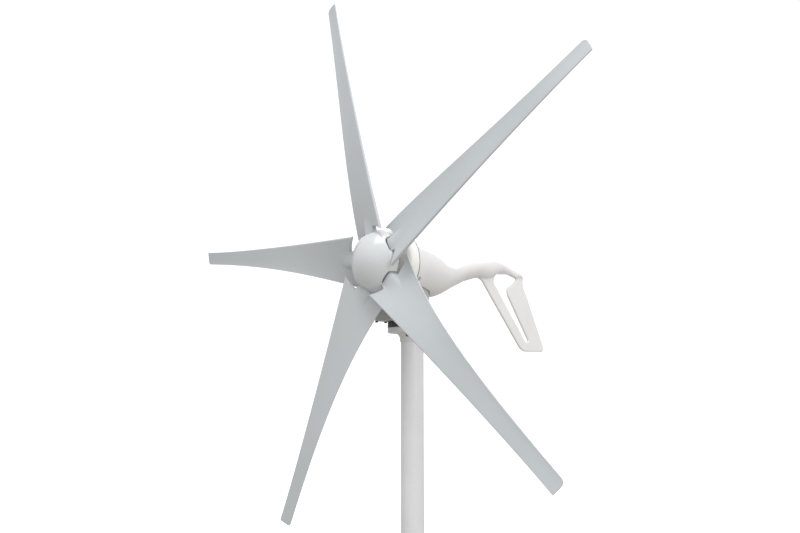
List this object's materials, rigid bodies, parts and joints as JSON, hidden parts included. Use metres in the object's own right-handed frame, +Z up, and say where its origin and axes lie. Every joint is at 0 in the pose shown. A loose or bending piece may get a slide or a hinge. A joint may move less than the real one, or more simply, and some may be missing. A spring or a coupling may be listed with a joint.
{
  "type": "small wind turbine",
  "caption": "Horizontal-axis micro wind turbine with twisted blades, nose cone, finned tail shroud and yaw head on a round mast.",
  "frame": {"origin": "centre of the mast's lower end, on the yaw axis", "axes": "+Z up along the mast; the rotor faces -Y and the tail points along +Y; +X to the right seen from in front"},
  "size_m": [1.1261, 0.632, 1.2407],
  "materials": {
    "blade_plastic": "satin, slightly blue-grey white moulding",
    "cone_plastic": "glossy white moulding",
    "shroud_plastic": "glossy white moulding",
    "cover_paint": "white powder coat on cast aluminium",
    "grey_casting": "grey paint on cast aluminium",
    "black_flange": "matt black",
    "flange_paint": "light grey paint",
    "mast_paint": "off-white powder coat",
    "black_screws": "black oxide",
    "zinc_fasteners": "zinc plate",
    "shaft_steel": "ground steel",
    "spring_steel": "dark spring steel",
    "bearing_steel": "polished steel",
    "bearing_cage": "pressed brass",
    "hub_plate": "machined aluminium",
    "core_steel": "laminated electrical steel",
    "magnet_plate": "nickel plate",
    "copper_wire": "enamelled copper",
    "slip_brass": "turned brass",
    "carbon": "carbon graphite",
    "insulator": "phenolic",
    "seal_rubber": "nitrile rubber",
    "lead_jacket": "insulated wire"
  },
  "bodies": {
    "mast": {"mast_tube": "mast_paint", "mast_flange": "flange_paint", "collar_screws": "black_screws", "yaw_flange": "black_flange", "flange_bolts": "zinc_fasteners", "flange_washers": "zinc_fasteners", "yaw_shaft": "shaft_steel", "yaw_spacer": "shaft_steel", "yaw_circlip": "spring_steel", "yaw_upper_inner": "bearing_steel", "yaw_lower_inner": "bearing_steel", "slip_ring_insulator": "insulator", "slip_rings": "slip_brass"},
    "yaw_balls": {"yaw_upper_balls": "bearing_steel", "yaw_lower_balls": "bearing_steel"},
    "nacelle": {"yaw_housing": "grey_casting", "yaw_housing_screws": "black_screws", "yaw_upper_outer": "bearing_steel", "yaw_lower_outer": "bearing_steel", "generator_housing": "grey_casting", "front_cover": "cover_paint", "front_cover_screws": "zinc_fasteners", "housing_o_ring": "seal_rubber", "shaft_seal": "seal_rubber", "front_bearing_outer": "bearing_steel", "rear_bearing_outer": "bearing_steel", "stator_core": "core_steel", "stator_windings": "copper_wire", "phase_leads": "lead_jacket", "brush_holder": "insulator", "brushes": "carbon", "brush_springs": "spring_steel", "tail_shroud": "shroud_plastic", "tail_screws": "zinc_fasteners"},
    "rotor_balls": {"front_bearing_balls": "bearing_steel", "front_bearing_cage": "bearing_cage", "rear_bearing_balls": "bearing_steel", "rear_bearing_cage": "bearing_cage"},
    "rotor": {"blade_1": "blade_plastic", "blade_2": "blade_plastic", "blade_3": "blade_plastic", "blade_4": "blade_plastic", "blade_5": "blade_plastic", "nose_cone": "cone_plastic", "nose_cone_screws": "zinc_fasteners", "hub_front_plate": "hub_plate", "hub_rear_plate": "hub_plate", "blade_bolts": "zinc_fasteners", "blade_washers": "zinc_fasteners", "blade_nuts": "zinc_fasteners", "main_shaft": "shaft_steel", "shaft_key": "shaft_steel", "shaft_spring_washer": "spring_steel", "shaft_nut": "zinc_fasteners", "shaft_circlip": "spring_steel", "front_bearing_inner": "bearing_steel", "rear_bearing_inner": "bearing_steel", "rotor_core": "core_steel", "rotor_magnets": "magnet_plate"}
  },
  "joints": [
    {"name": "yaw", "type": "hinge", "parent": "mast", "child": "nacelle", "pos_m": [0, 0, 0.532], "axis": [0, 0, 1], "continuous": true},
    {"name": "yaw_balls_roll", "type": "hinge", "parent": "mast", "child": "yaw_balls", "pos_m": [0, 0, 0.532], "axis": [0, 0, 1], "continuous": true},
    {"name": "rotor_spin", "type": "hinge", "parent": "nacelle", "child": "rotor", "pos_m": [0, -0.07, 0.65], "axis": [0, 1, 0], "continuous": true},
    {"name": "rotor_balls_roll", "type": "hinge", "parent": "nacelle", "child": "rotor_balls", "pos_m": [0, -0.07, 0.65], "axis": [0, 1, 0], "continuous": true}
  ],
  "couplings": [
    {"joint": "yaw_balls_roll", "follows": "yaw", "ratio": 0.565},
    {"joint": "rotor_balls_roll", "follows": "rotor_spin", "ratio": 0.396}
  ]
}
